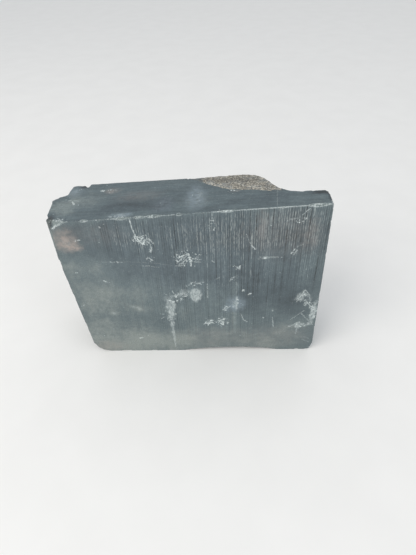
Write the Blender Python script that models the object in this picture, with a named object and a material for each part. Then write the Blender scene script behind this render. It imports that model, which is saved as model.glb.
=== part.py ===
# A block of wonderstone: one stone, sawn flat on its front, top, underside and ends,
# split along a flat joint on the left of its back, and with the boulder's own weathered
# rind on the rest of the back and on a shallow ledge at the right of the top.
# It stands on its underside. +X runs along its length, the broad sawn front faces -Y, +Z is up.
# Lengths are in millimetres, measured from the left of the front's top edge, from the front
# face and from the underside, and MM turns them into metres.
import math
import random

import bmesh
import bpy
import numpy as np
from mathutils import Euler, Matrix, Vector, noise

MM = 0.001

# Driving dimensions
TOP_HEIGHT = 127.6  # of the sawn top, at its left end
TOP_SLOPE = 0.0563  # the top rises to the right
LEFT_FOOT = 5.6  # the left end starts here at the underside
LEFT_LEAN = 0.0655  # and leans out as it rises
LEFT_SPLAY = 0.08  # and towards the back
RIGHT_FOOT = 182.5  # the right end starts here at the underside
RIGHT_LEAN = 0.0275  # and leans in as it rises
SPARE = 12.0  # how far the uncut stone runs past each saw cut

# The uncut stone, in sections along its length. In each one the natural top falls backwards
# by FALL through the level of the sawn top at CROSSING, turns down at SHOULDER on a radius
# of ROUNDING, and runs down the back to FOOT, with a swelling of BELLY halfway. CURVE is 1
# for a straight back and higher for one that drops away below the shoulder.
SECTIONS = (
    # x, shoulder, crossing, fall, rounding, foot, belly, curve
    (-14.0, 48.0, 90.0, 0.30, 0.4, 51.2, 0.0, 1.0),
    (84.0, 45.4, 85.0, 0.30, 0.4, 49.2, 0.0, 1.0),
    (87.4, 45.1, 55.0, 0.25, 0.4, 49.1, 0.0, 1.0),
    (90.0, 44.8, 44.5, 0.20, 0.8, 49.0, 0.3, 1.2),
    (96.0, 47.5, 40.2, 0.16, 1.4, 49.4, 1.2, 1.6),
    (104.0, 50.1, 33.6, 0.13, 2.0, 50.2, 2.4, 2.0),
    (112.0, 50.9, 29.2, 0.11, 2.0, 51.0, 3.4, 2.2),
    (120.0, 51.0, 26.6, 0.10, 2.0, 51.5, 4.0, 2.4),
    (128.0, 51.0, 24.6, 0.10, 2.0, 51.6, 4.0, 2.6),
    (133.0, 50.0, 23.0, 0.10, 2.0, 51.5, 3.8, 2.8),
    (138.0, 47.2, 21.8, 0.10, 2.0, 51.2, 3.4, 3.0),
    (142.0, 40.4, 21.2, 0.12, 1.6, 50.8, 3.0, 3.0),
    (145.0, 32.2, 20.8, 0.14, 1.2, 50.4, 2.6, 3.0),
    (149.0, 24.4, 20.2, 0.18, 0.8, 50.0, 2.2, 3.0),
    (153.5, 17.6, 27.0, 0.40, 0.5, 49.2, 1.6, 3.0),
    (165.0, 16.6, 35.0, 0.40, 0.5, 48.2, 0.8, 3.0),
    (180.0, 15.2, 35.0, 0.40, 0.5, 46.2, 0.0, 3.0),
    (196.0, 13.0, 35.0, 0.40, 0.5, 44.0, 0.0, 3.0),
)
SLANT = 0.16  # the seam of joint and rind leans to the right as it runs down, by this much per mm
WANDER = (7.0, 30.0)  # and strays from side to side: how far, and over what length
PLAIN_STEPS = (-14.0, 12.0, 40.0, 66.0, 84.0, 87.4)  # sections of the flat stretch
RIND_START = 90.0
RIND_END = 196.0
RIND_FADE = 8.0
RIND_SPACING = 3.2
TOP_STEPS = 14
ARC_STEPS = 3
BACK_STEPS = 26
FINE_LUMPS = (0.22, 5.0, 3.1)  # height, width and seed of the rind's relief on the ledge
BROAD_LUMPS = (1.5, 17.0, 8.4)  # and down the back
DEPTH_TO_BROAD = 14.0  # below the sawn top, where the broad lumps reach their full height
LUMP_DETAIL = (0.9, 2.1, 3)  # how fast finer lumps fade, how much finer each is, and how many there are

# Flat cuts: a point on each, and the direction that it faces
SAW_CUTS = (
    ((0.0, 0.0, 0.0), (0.0, -1.0, 0.0)),
    ((0.0, 0.0, 0.0), (0.0, 0.0, -1.0)),
    ((0.0, 0.0, TOP_HEIGHT), (-TOP_SLOPE, 0.0, 1.0)),
    ((LEFT_FOOT, 0.0, 0.0), (-1.0, -LEFT_SPLAY, -LEFT_LEAN)),
    ((RIGHT_FOOT, 0.0, 0.0), (1.0, 0.0, RIGHT_LEAN)),
)
# Corners knocked off flat, each by the plane through three points
WORN_CORNERS = (
    ((9.0, 0.0, 128.1), (9.0, 40.0, 128.1), (-4.0, 0.0, 126.6)),  # the top falls away at its left end
    ((-0.6, 0.0, 98.0), (1.3, 0.0, 123.6), (-3.6, 6.6, 126.0)),  # left edge of the front
    ((1.3, 0.0, 123.6), (11.6, 0.0, 128.2), (1.2, 5.0, 127.4)),  # pale facet on the top left corner
    ((5.3, 0.0, 9.5), (8.3, 0.0, 4.2), (5.0, 30.0, 8.8)),  # left end of the underside, in three facets
    ((8.3, 0.0, 4.2), (11.3, 0.0, 1.9), (8.0, 30.0, 4.0)),
    ((11.3, 0.0, 1.9), (18.0, 0.0, 0.0), (11.0, 30.0, 1.8)),
    ((182.1, 0.0, 8.0), (180.2, 0.0, 1.2), (181.9, 30.0, 7.4)),  # right end of the underside
    ((180.2, 0.0, 1.2), (176.0, 0.0, 0.0), (180.0, 30.0, 1.2)),
    ((178.8, 0.0, 137.1), (178.3, 0.0, 137.7), (178.8, 16.0, 136.9)),  # right end of the top
)

# Chips on the arrises: distance along the edge from 0 to 1, width, and bite
FRONT_TOP_CHIPS = (
    (0.130, 5.0, 0.8),
    (0.185, 3.0, 0.6),
    (0.270, 11.0, 1.1),
    (0.330, 7.0, 0.9),
    (0.385, 9.0, 1.1),
    (0.470, 3.5, 0.8),
    (0.640, 9.0, 0.6),
    (0.830, 4.0, 0.5),
    (0.955, 14.0, 1.2),
)
FRONT_FOOT_CHIPS = ((0.14, 9.0, 0.7), (0.27, 5.0, 0.5), (0.79, 6.0, 0.6), (0.93, 4.0, 0.6))
FRONT_RIGHT_CHIPS = ((0.18, 6.0, 0.6), (0.44, 9.0, 0.6), (0.71, 5.0, 0.6), (0.9, 4.0, 0.5))
FRONT_LEFT_CHIPS = ((0.24, 8.0, 0.5), (0.49, 7.0, 0.5), (0.735, 9.0, 1.2))
CHIP_OUT = 0.9  # a chip's middle lies outside its edge by this share of its bite
CHIP_LENGTH = 0.62  # half its length along the edge, as a share of its width
CHIP_THICKNESS = 1.9  # half its thickness and half its breadth, as shares of its bite
CHIP_BREADTH = 2.6
CHIP_ROUGHNESS = 0.22

# Chips on the edges that face away, spread by chance
BACK_FOOT_ENDS = (44.0, 176.0)  # the part of the back's foot that has them, right of the spall
LEFT_FOOT_ENDS = ((9.0, 4.0, 2.6), (7.0, 46.0, 2.6))
RIGHT_BACK_TOP = 2.0  # those on the upright edge at the right stop this far below the top
RANDOM_CHIPS_PER_EDGE = 6
RANDOM_SPREAD = (0.2, 0.8)  # where each lies in its own stretch of the edge
RANDOM_WIDTHS = (3.0, 11.0)
RANDOM_BITES = (0.5, 1.4)
EDGE_SEED = 11

# Angular bites: seed, relief, and two outlines in plan, (x, y), each after its level
BITES = {
    "step_in_back_corner": (
        (7.3, 0.5),
        (66.0, (-5.0, 50.5), (-16.0, 45.0), (-16.0, 66.0), (1.0, 66.0)),
        (140.0, (3.8, 30.7), (-16.0, 29.0), (-16.0, 66.0), (13.6, 66.0)),
    ),
    "notch_by_lobe": (
        (2.1, 0.2),
        (104.0, (15.4, 48.9), (9.0, 52.0), (19.0, 52.0)),
        (140.0, (16.2, 43.6), (5.5, 49.5), (20.6, 49.5)),
    ),
    "notch_by_rind": (
        (5.2, 0.15),
        (112.0, (87.8, 48.5), (84.0, 52.0), (91.5, 52.0)),
        (141.0, (87.6, 42.7), (83.0, 49.0), (91.4, 48.5)),
    ),
}
BITE_LUMP_WIDTH = 9.0
# Shallow lenses of stone that came away: middle, half sizes, turn in radians, seed, roughness
SPALLS = {
    "hollow_under_front": ((117.0, -1.0, -6.2), (49.0, 26.0, 10.2), (0.0, 0.0, 0.0), 4.0, 0.03),
    "spall_on_back": ((20.0, 62.0, 2.0), (34.0, 15.0, 26.0), (0.1, 0.1, -0.06), 3.3, 0.16),
    "spall_on_left_end": ((-9.0, 56.0, 38.0), (13.0, 17.0, 30.0), (0.2, 0.0, 0.1), 6.6, 0.16),
    "spall_on_right_end": ((192.0, 47.0, 14.0), (13.0, 17.0, 30.0), (0.2, 0.0, 0.1), 1.4, 0.16),
}

STONE_COLOUR = (0.142, 0.178, 0.199, 1.0)
RIND_COLOUR = (0.305, 0.262, 0.212, 1.0)


def clear_scene():
    for obj in list(bpy.data.objects):
        bpy.data.objects.remove(obj, do_unlink=True)


def stone_material(name, colour, roughness):
    material = bpy.data.materials.new(name)
    material.use_nodes = True
    shader = material.node_tree.nodes["Principled BSDF"]
    shader.inputs["Base Color"].default_value = colour
    shader.inputs["Roughness"].default_value = roughness
    shader.inputs["Metallic"].default_value = 0.0
    return material


def crest(x):
    """Height of the sawn top."""
    return TOP_HEIGHT + TOP_SLOPE * x


def section_values(x):
    stations, *columns = zip(*SECTIONS)
    return [float(np.interp(x, stations, column)) for column in columns]


def past_seam(x, z):
    """x as the back sees it, after the seam has leaned and strayed on its way down from the top."""
    lower = max(crest(x) - z, 0.0)
    stray, length = WANDER
    ease = min(lower / length, 1.0)
    return x - SLANT * lower - stray * ease * noise.noise(Vector((z / length, 4.7, 0.0)))


def back_depth(x, z, arc_z):
    """How far back the stone reaches at x and z, under an arc that ends at arc_z."""
    shoulder, _, _, _, foot, belly, curve = section_values(past_seam(x, z))
    brow = min(arc_z, crest(x))
    share = min(max(z / brow, 0.0), 1.0)
    return foot + belly * math.sin(math.pi * share) - (foot - shoulder) * share**curve


def section(x):
    """The uncut stone's outline at x, as (y, z) points from the front of its top round to its underside."""
    shoulder, crossing, fall, rounding = section_values(x)[:4]
    points = []
    arc_y = shoulder - rounding
    for step in range(TOP_STEPS + 1):
        y = -SPARE + (arc_y + SPARE) * step / TOP_STEPS
        points.append((y, crest(x) + fall * (crossing - y)))
    arc_z = points[-1][1] - rounding
    for step in range(1, ARC_STEPS + 1):
        angle = 0.5 * math.pi * (1 - step / ARC_STEPS)
        points.append((arc_y + rounding * math.cos(angle), arc_z + rounding * math.sin(angle)))
    for step in range(1, BACK_STEPS + 1):
        z = arc_z - (arc_z + SPARE) * step / BACK_STEPS
        points.append((back_depth(x, z, arc_z), z))
    points.append((-SPARE, -SPARE))
    return points


def seed_shift(seed):
    """A place in the noise for each seed."""
    return Vector((seed, 1.7 * seed, 0.6 * seed))


def lump(point, height, width, seed):
    """Relief of this height, in lumps about this wide."""
    return height * noise.fractal(point / width + seed_shift(seed), *LUMP_DETAIL)


def rind_share(place):
    """0 on the flat joint, rising to 1 on the rind that starts beside it."""
    return min(max((past_seam(place.x, place.z) - RIND_START) / RIND_FADE, 0.0), 1.0)


def uncut_stone(rind_slot):
    """The boulder before sawing: sections skinned end to end, with lumps on its rind."""
    count = math.ceil((RIND_END - RIND_START) / RIND_SPACING)
    places = list(PLAIN_STEPS) + list(np.linspace(RIND_START, RIND_END, count + 1))
    stone = bmesh.new()
    rings = []
    for x in places:
        rings.append([stone.verts.new((x, y, z)) for y, z in section(x)])
    size = len(rings[0])
    for left, right in zip(rings, rings[1:]):
        for i in range(size):
            j = (i + 1) % size
            face = stone.faces.new((left[i], left[j], right[j], right[i]))
            face.material_index = rind_slot if rind_share(left[i].co) > 0.0 and i < size - 2 else 0
    stone.faces.new(rings[0][::-1])
    stone.faces.new(rings[-1])
    bmesh.ops.recalc_face_normals(stone, faces=stone.faces)
    stone.normal_update()
    moves = []
    for ring in rings:
        for vert in ring[1:-2]:
            depth = min(max((crest(vert.co.x) - vert.co.z) / DEPTH_TO_BROAD, 0.0), 1.0)
            relief = lump(vert.co, *FINE_LUMPS) + depth * lump(vert.co, *BROAD_LUMPS)
            moves.append((vert, vert.normal * relief * rind_share(vert.co)))
    for vert, move in moves:
        vert.co += move
    return stone


def facing_out(corners):
    """The direction of the plane through three points, away from the middle of the block."""
    first, second, third = (Vector(corner) for corner in corners)
    direction = (second - first).cross(third - first).normalized()
    inside = Vector((RIGHT_FOOT / 2, 25.0, TOP_HEIGHT / 2)) - first
    return -direction if direction.dot(inside) > 0 else direction


def cut_flat(stone, point, facing):
    """Saws off all that lies past the plane, and closes the cut."""
    everything = stone.verts[:] + stone.edges[:] + stone.faces[:]
    result = bmesh.ops.bisect_plane(
        stone, geom=everything, dist=1e-5, plane_co=point, plane_no=facing, clear_outer=True
    )
    rim = [item for item in result["geom_cut"] if isinstance(item, bmesh.types.BMEdge)]
    bmesh.ops.holes_fill(stone, edges=rim)


def new_object(name, shape, materials=()):
    mesh = bpy.data.meshes.new(name)
    shape.to_mesh(mesh)
    shape.free()
    obj = bpy.data.objects.new(name, mesh)
    for material in materials:
        mesh.materials.append(material)
    return obj


def flake(name, place, size, turn, seed, roughness, detail):
    """A rough lens of stone, to be knocked out of the block."""
    shape = bmesh.new()
    bmesh.ops.create_icosphere(shape, subdivisions=detail, radius=1.0)
    for vert in shape.verts:
        vert.co *= 1.0 + roughness * noise.noise(vert.co * 1.6 + seed_shift(seed))
    matrix = Matrix.Translation(place) @ Euler(turn).to_matrix().to_4x4() @ Matrix.Diagonal((*size, 1.0))
    bmesh.ops.transform(shape, matrix=Matrix.Scale(MM, 4) @ matrix, verts=shape.verts)
    return new_object(name, shape)


def bite(name, surface, *outlines):
    """An angular piece to be broken off, between an outline at a lower level and one at a higher."""
    seed, relief = surface
    shape = bmesh.new()
    for level, *corners in outlines:
        for x, y in corners:
            shape.verts.new((x, y, level))
    bmesh.ops.convex_hull(shape, input=shape.verts)
    bmesh.ops.triangulate(shape, faces=shape.faces)
    bmesh.ops.subdivide_edges(shape, edges=shape.edges, cuts=3, use_grid_fill=True)
    bmesh.ops.recalc_face_normals(shape, faces=shape.faces)
    shape.normal_update()
    for vert in shape.verts:
        vert.co += vert.normal * lump(vert.co, relief, BITE_LUMP_WIDTH, seed)
    bmesh.ops.scale(shape, vec=(MM, MM, MM), verts=shape.verts)
    return new_object(name, shape)


def edge_flakes(name, edge, outward, chips, seed):
    """Small flakes bitten out along one edge of the block, given as a function from 0 to 1 along it."""
    outward = Vector(outward).normalized()
    flakes = []
    for number, (share, width, depth) in enumerate(chips):
        along = (edge(share + 0.01) - edge(share - 0.01)).normalized()
        across = along.cross(outward).normalized()
        turn = Matrix((along, across.cross(along), across)).transposed().to_euler()
        place = edge(share) + outward * CHIP_OUT * depth
        size = (CHIP_LENGTH * width, CHIP_THICKNESS * depth, CHIP_BREADTH * depth)
        chip_name = f"{name}_{number}"
        flakes.append(flake(chip_name, place, size, turn, seed + 1.37 * number, CHIP_ROUGHNESS, 2))
    return flakes


def straight(start, end):
    start, end = Vector(start), Vector(end)
    return lambda share: start.lerp(end, share)


def right_back_edge(share):
    """The curved edge between the right end and the rind, from the underside up."""
    z = share * (crest(RIGHT_FOOT) - RIGHT_BACK_TOP)
    x = RIGHT_FOOT - RIGHT_LEAN * z
    return Vector((x, back_depth(x, z, crest(x)), z))


def back_foot_edge(share):
    """The edge between the back and the underside."""
    left, right = BACK_FOOT_ENDS
    x = left + (right - left) * share
    return Vector((x, back_depth(x, 0.0, crest(x)), 0.0))


def random_chips(chance):
    """Places, widths and bites of the chips on an edge that faces away."""
    chips = []
    for step in range(RANDOM_CHIPS_PER_EDGE):
        share = (step + chance.uniform(*RANDOM_SPREAD)) / RANDOM_CHIPS_PER_EDGE
        chips.append((share, chance.uniform(*RANDOM_WIDTHS), chance.uniform(*RANDOM_BITES)))
    return chips


def front_edges():
    """The four edges round the front: name, edge, the way out from it, and its chips."""
    left_foot = Vector((LEFT_FOOT, 0.0, 0.0))
    left_top = Vector((LEFT_FOOT - LEFT_LEAN * TOP_HEIGHT, 0.0, TOP_HEIGHT))
    right_foot = Vector((RIGHT_FOOT, 0.0, 0.0))
    top_height = crest(RIGHT_FOOT)
    right_top = Vector((RIGHT_FOOT - RIGHT_LEAN * top_height, 0.0, top_height))
    return (
        ("front_top", straight((0.0, 0.0, TOP_HEIGHT), right_top), (0, -1, 1), FRONT_TOP_CHIPS),
        ("front_foot", straight(left_foot, right_foot), (0, -1, -1), FRONT_FOOT_CHIPS),
        ("front_right", straight(right_foot, right_top), (1, -1, 0), FRONT_RIGHT_CHIPS),
        ("front_left", straight(left_foot, left_top), (-1, -1, 0), FRONT_LEFT_CHIPS),
    )


def hidden_edges():
    """Three edges that face away, with chips spread by chance."""
    chance = random.Random(EDGE_SEED)
    return (
        ("back_foot", back_foot_edge, (0, 1, -1), random_chips(chance)),
        ("left_foot", straight(*LEFT_FOOT_ENDS), (-1, 0, -1), random_chips(chance)),
        ("right_back", right_back_edge, (1, 0.8, 0), random_chips(chance)),
    )


def all_flakes():
    """Every chip, notch and spall that is knocked out of the sawn block."""
    flakes = [bite(name, *values) for name, values in BITES.items()]
    flakes += [flake(name, *values, 3) for name, values in SPALLS.items()]
    for number, (name, edge, outward, chips) in enumerate(front_edges() + hidden_edges()):
        flakes += edge_flakes(name, edge, outward, chips, 10.0 + 8.0 * number)
    return flakes


def knock_out(block, flakes):
    """Takes the flakes out of the block, and keeps them as hidden cutters that move with it."""
    cutters = bpy.data.collections.new("cutters")
    bpy.context.scene.collection.children.link(cutters)
    for cutter in flakes:
        cutters.objects.link(cutter)
        cutter.parent = block
        cutter.hide_render = True
        cutter.display_type = "WIRE"
    boolean = block.modifiers.new("chips", "BOOLEAN")
    boolean.operation = "DIFFERENCE"
    boolean.solver = "EXACT"
    boolean.operand_type = "COLLECTION"
    boolean.collection = cutters


def stand_on_origin(block):
    """Moves the block so that the middle of its underside's box is at the origin."""
    bpy.context.view_layer.update()
    evaluated = block.evaluated_get(bpy.context.evaluated_depsgraph_get())
    corners = np.array([vert.co for vert in evaluated.data.vertices])
    low, high = corners.min(axis=0), corners.max(axis=0)
    block.location = (-(low[0] + high[0]) / 2, -(low[1] + high[1]) / 2, -low[2])


def main():
    clear_scene()
    sawn = stone_material("sawn_wonderstone", STONE_COLOUR, 0.72)
    rind = stone_material("weathered_rind", RIND_COLOUR, 0.92)
    stone = uncut_stone(rind_slot=1)
    for point, facing in SAW_CUTS:
        cut_flat(stone, point, facing)
    for corners in WORN_CORNERS:
        cut_flat(stone, corners[0], facing_out(corners))
    bmesh.ops.scale(stone, vec=(MM, MM, MM), verts=stone.verts)
    block = new_object("wonderstone_block", stone, (sawn, rind))
    bpy.context.scene.collection.objects.link(block)
    knock_out(block, all_flakes())
    stand_on_origin(block)


main()
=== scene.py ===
# A block of wonderstone, sawn from a boulder, on a pale floor in soft studio light.
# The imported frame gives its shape. This script cuts the faces into small cells, gives them saw marks,
# nicked arrises and rind grain, and colours them as sawn, rubbed, weathered and bruised stone.
import math
import random

import bmesh
import bpy
import numpy as np
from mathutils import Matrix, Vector, kdtree, noise


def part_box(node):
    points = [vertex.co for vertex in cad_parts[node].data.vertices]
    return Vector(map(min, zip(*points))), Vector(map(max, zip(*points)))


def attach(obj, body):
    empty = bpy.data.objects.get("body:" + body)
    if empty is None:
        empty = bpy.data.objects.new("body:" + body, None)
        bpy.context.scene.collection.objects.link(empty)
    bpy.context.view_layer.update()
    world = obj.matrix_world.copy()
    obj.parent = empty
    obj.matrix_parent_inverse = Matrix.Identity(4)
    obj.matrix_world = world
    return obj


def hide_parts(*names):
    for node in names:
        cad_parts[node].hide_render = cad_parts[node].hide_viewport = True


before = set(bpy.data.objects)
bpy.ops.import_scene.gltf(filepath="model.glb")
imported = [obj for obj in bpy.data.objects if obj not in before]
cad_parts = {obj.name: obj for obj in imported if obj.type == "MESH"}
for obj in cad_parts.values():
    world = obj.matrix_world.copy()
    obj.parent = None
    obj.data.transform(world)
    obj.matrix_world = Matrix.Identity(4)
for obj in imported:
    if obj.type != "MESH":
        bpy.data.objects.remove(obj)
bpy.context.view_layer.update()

mm = 0.001
blockNode = "wonderstone_block"
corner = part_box(blockNode)[0] / mm  # places on the block count from here: right, back and up, in mm

camera = {
    "place": (115.4, -219.7, 272.8),  # mm from the block's corner
    "turn": (48.69, 1.90, 0.84),  # degrees, a hand-held view from above with a slight roll
    "lens": 27.05,  # mm
    "sensor": 36.0,  # mm
    "clip": (0.01, 30.0),  # m
}


def addObject(name, data):
    thing = bpy.data.objects.new(name, data)
    bpy.context.scene.collection.objects.link(thing)
    return thing


def placeCamera(numbers):
    view = addObject("photoView", bpy.data.cameras.new("photoView"))
    view.location = (Vector(numbers["place"]) + corner) * mm
    view.rotation_euler = [math.radians(angle) for angle in numbers["turn"]]
    view.data.lens = numbers["lens"]
    view.data.sensor_width = numbers["sensor"]
    view.data.clip_start, view.data.clip_end = numbers["clip"]
    bpy.context.scene.camera = view


def hexColour(code):
    # sRGB hex to the linear values that shaders take
    parts = [int(code[i : i + 2], 16) / 255 for i in (1, 3, 5)]
    linear = [part / 12.92 if part <= 0.04045 else ((part + 0.055) / 1.055) ** 2.4 for part in parts]
    return (*linear, 1.0)


def addNode(tree, kind, inputs=(), out=0, **settings):
    # one node with its settings and links, handed back as one of its outputs; its kind may end in its
    # operation or attribute; inputs is a row of values or links in the sockets' order, or a dictionary
    kind, *word = kind.split()
    node = tree.nodes.new("ShaderNode" + kind)
    if word:
        setattr(node, "attribute_name" if kind == "Attribute" else "operation", word[0])
    for name, value in settings.items():
        setattr(node, name, value)
    for name, value in inputs.items() if isinstance(inputs, dict) else enumerate(inputs):
        if isinstance(value, bpy.types.NodeSocket):
            tree.links.new(value, node.inputs[name])
        else:
            node.inputs[name].default_value = value
    return node.outputs[out]


# Cutting the stone into cells, small enough to carry its relief

cells = {  # mm
    "rows": 1.0,  # along the front's saw marks; across them each groove has two cells
    "arris": 0.45,  # beside the front's top edge, where it is nicked
    "arrisDepth": 3.0,
    "broken": 0.85,  # chipped corners, and the rind ledge that shows above the top
    "broad": 1.45,
    "start": 0.37,  # where the first cut goes, as a share of a cell
    "reach": 190.0,  # past the block's far ends
    "lowest": -11.0,  # the front's lowest row, at the left, since the rows rise with the top
    "spare": (0.2, 0.3),  # the fine rows stop this short of the arris, and the rest short of them
    "same": 0.001,  # points this close are one
    "onCut": 1e-4,  # points this near to a cut lie on it
}
topRise = 0.0563  # the sawn top rises to the right by this much per mm
topAtLeft = 127.3  # its height at the left of the block's box
facings = {
    "front": (0.0, -1.0, 0.0),
    "top": (-0.0562, 0.0, 0.9984),
    "left": (-0.9947, -0.0796, -0.0652),
    "right": (0.9996, 0.0, 0.0275),
    "under": (0.0, 0.0, -1.0),
}
regions = (*facings, "back", "broken", "arrisStrip", "ledge")
creaseAngle = math.radians(30)  # edges that turn more than this stay crisp
flatAngle = math.radians(0.2)  # and faces that turn less than this are one
sawMarks = {  # mm
    "gap": (1.3, 1.65),  # from one ridge to the next
    "middle": (0.42, 0.58),  # where the groove between them is deepest
    "depth": (0.03, 0.11),
    "span": (-1.0, 192.0),  # a little past the block's ends
    "seeds": {"front": 5, "ends": 8},
}


def sawProfile(face):
    # places and depths of ridges and grooves in turn
    chance = random.Random(sawMarks["seeds"][face])
    start, end = sawMarks["span"]
    places = [start]
    depths = [0.0]
    while places[-1] < end:
        gap = chance.uniform(*sawMarks["gap"])
        places += [places[-1] + gap * chance.uniform(*sawMarks["middle"]), places[-1] + gap]
        depths += [chance.uniform(*sawMarks["depth"]), 0.0]
    return np.array(places), np.array(depths)


seam = {  # between the flat joint and the rind, on the back, in mm
    "start": 95.3,  # at the top
    "slant": 0.16,  # it leans right as it runs down
    "stray": 12.0,
    "strayLength": 30.0,
    "fade": 8.0,
    "lump": 6.0,  # of its ragged rim
    "ragged": (0.3, 0.4),  # how ragged it is on the ledge, and how much more below it
    "tip": 4.0,  # on the ledge the rind starts this much further right
    "tipFrom": 3.0,  # which sets in this far below the sawn top
    "lowFrom": 2.0,  # the ledge ends this far below the sawn top
    "lowLength": 12.0,  # and fades out over this
}


def pastSeam(x, z):
    lower = max(topAtLeft + topRise * x - z, 0.0)
    ease = min(lower / seam["strayLength"], 1.0)
    along = z / seam["strayLength"]  # long bends, with short ones over them
    stray = noise.noise(Vector((along, 4.7, 0.0))) + 0.5 * noise.noise(Vector((4.0 * along, 1.3, 0.0)))
    return x - seam["slant"] * lower - seam["stray"] * ease * stray - seam["start"]


def readStone():
    shape = bmesh.new()
    shape.from_mesh(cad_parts[blockNode].data)
    bmesh.ops.scale(shape, vec=(1 / mm,) * 3, verts=shape.verts)
    bmesh.ops.translate(shape, vec=-corner, verts=shape.verts)
    bmesh.ops.remove_doubles(shape, verts=shape.verts, dist=cells["same"])
    bmesh.ops.dissolve_limit(shape, angle_limit=flatAngle, verts=shape.verts, edges=shape.edges)
    shape.normal_update()
    return shape


sorting = {  # places in mm, with how squarely a face looks one way, from 0 to 1
    "back": 0.2,  # looks back by more than this, or lies this far past the seam
    "pastSeam": 2.0,
    "chips": 12.0,  # breaks lie nearer to the front than this
    "lowerLeft": (22.0, 60.0),  # or left of this and below this
    "foot": (8.0, 0.5),  # or below this and looking back by less than this
    "rightFoot": (40.0, 0.8),  # or below this and looking right by more than this
    "ledge": (115.0, 0.5),  # above this and looking up
    "sawn": (300.0, 0.995),  # larger than this, in square mm, and square to a saw cut
}


def sortFaces(shape):
    # each face keeps the number of its region as its material: the sawn faces are the large flat ones
    cornerRight, cornerTop = sorting["lowerLeft"]
    footTop, footBack = sorting["foot"]
    spallTop, spallRight = sorting["rightFoot"]
    ledgeLow, ledgeUp = sorting["ledge"]
    sawnArea, sawnFlat = sorting["sawn"]
    for face in shape.faces:
        x, y, z = face.calc_center_median()
        right, back, up = face.normal
        isBack = back > sorting["back"] or pastSeam(x, z) > sorting["pastSeam"]
        isChip = y < sorting["chips"] or x < cornerRight and z < cornerTop
        isSpall = z < footTop and back < footBack or z < spallTop and right > spallRight
        region = "back" if isBack and not isChip and not isSpall else "broken"
        if region == "back" and up > ledgeUp and z > ledgeLow:
            region = "ledge"
        for name, facing in facings.items():
            if face.normal.dot(Vector(facing)) > sawnFlat and face.calc_area() > sawnArea:
                region = name
        face.material_index = regions.index(region)


def inRegions(shape, names):
    return [face for face in shape.faces if regions[face.material_index] in names]


def sliceFaces(shape, faces, direction, places):
    # cuts across the faces, halving the list so that each cut meets few of them
    if len(places) == 0 or not faces:
        return
    middle = len(places) // 2
    verts = {vert for face in faces for vert in face.verts}
    edges = {edge for face in faces for edge in face.edges}
    cut = bmesh.ops.bisect_plane(
        shape,
        geom=[*verts, *edges, *faces],
        dist=cells["onCut"],
        plane_co=direction * places[middle] / direction.length_squared,
        plane_no=direction,
    )
    below = []
    above = []
    for face in cut["geom"]:
        if isinstance(face, bmesh.types.BMFace):
            isAbove = face.calc_center_median().dot(direction) > places[middle]
            (above if isAbove else below).append(face)
    sliceFaces(shape, below, direction, places[:middle])
    sliceFaces(shape, above, direction, places[middle + 1 :])


def cutCells(shape):
    # the front's many rows come last, because each cut takes longer as the faces grow in number
    across = Vector((1.0, 0.0, 0.0))
    deep = Vector((0.0, 1.0, 0.0))
    upright = Vector((0.0, 0.0, 1.0))
    alongTop = Vector((-topRise, 0.0, 1.0))
    sliceFaces(shape, inRegions(shape, ["top"]), deep, [cells["arrisDepth"]])
    for face in inRegions(shape, ["top"]):
        if face.calc_center_median().y < cells["arrisDepth"]:
            face.material_index = regions.index("arrisStrip")
    sliceFaces(shape, inRegions(shape, ["front", "arrisStrip"]), across, sawProfile("front")[0])
    sliceFaces(shape, inRegions(shape, ["left", "right"]), deep, sawProfile("ends")[0])
    for names, direction, step in (
        (("top", "under", "back"), across, cells["broad"]),
        (("broken", "ledge"), across, cells["broken"]),
        (("top", "under", "back"), deep, cells["broad"]),
        (("broken", "ledge"), deep, cells["broken"]),
        (("arrisStrip",), deep, cells["arris"]),
        (("back", "left", "right"), upright, cells["broad"]),
        (("broken",), upright, cells["broken"]),
    ):
        places = np.arange(cells["start"] * step, cells["reach"], step)
        sliceFaces(shape, inRegions(shape, names), direction, places)
    rows = topAtLeft - cells["arrisDepth"]
    arrisSpare, rowSpare = cells["spare"]
    fineRows = np.arange(rows, topAtLeft - arrisSpare, cells["arris"])
    coarseRows = np.arange(cells["lowest"], rows - rowSpare, cells["rows"])
    sliceFaces(shape, inRegions(shape, ["front"]), alongTop, np.concatenate((coarseRows, fineRows)))
    for name, whole in (("arrisStrip", "top"), ("ledge", "back")):
        for face in inRegions(shape, [name]):
            face.material_index = regions.index(whole)


# Marks on the sawn front (x, z) and on the top (x, y), in mm

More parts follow.
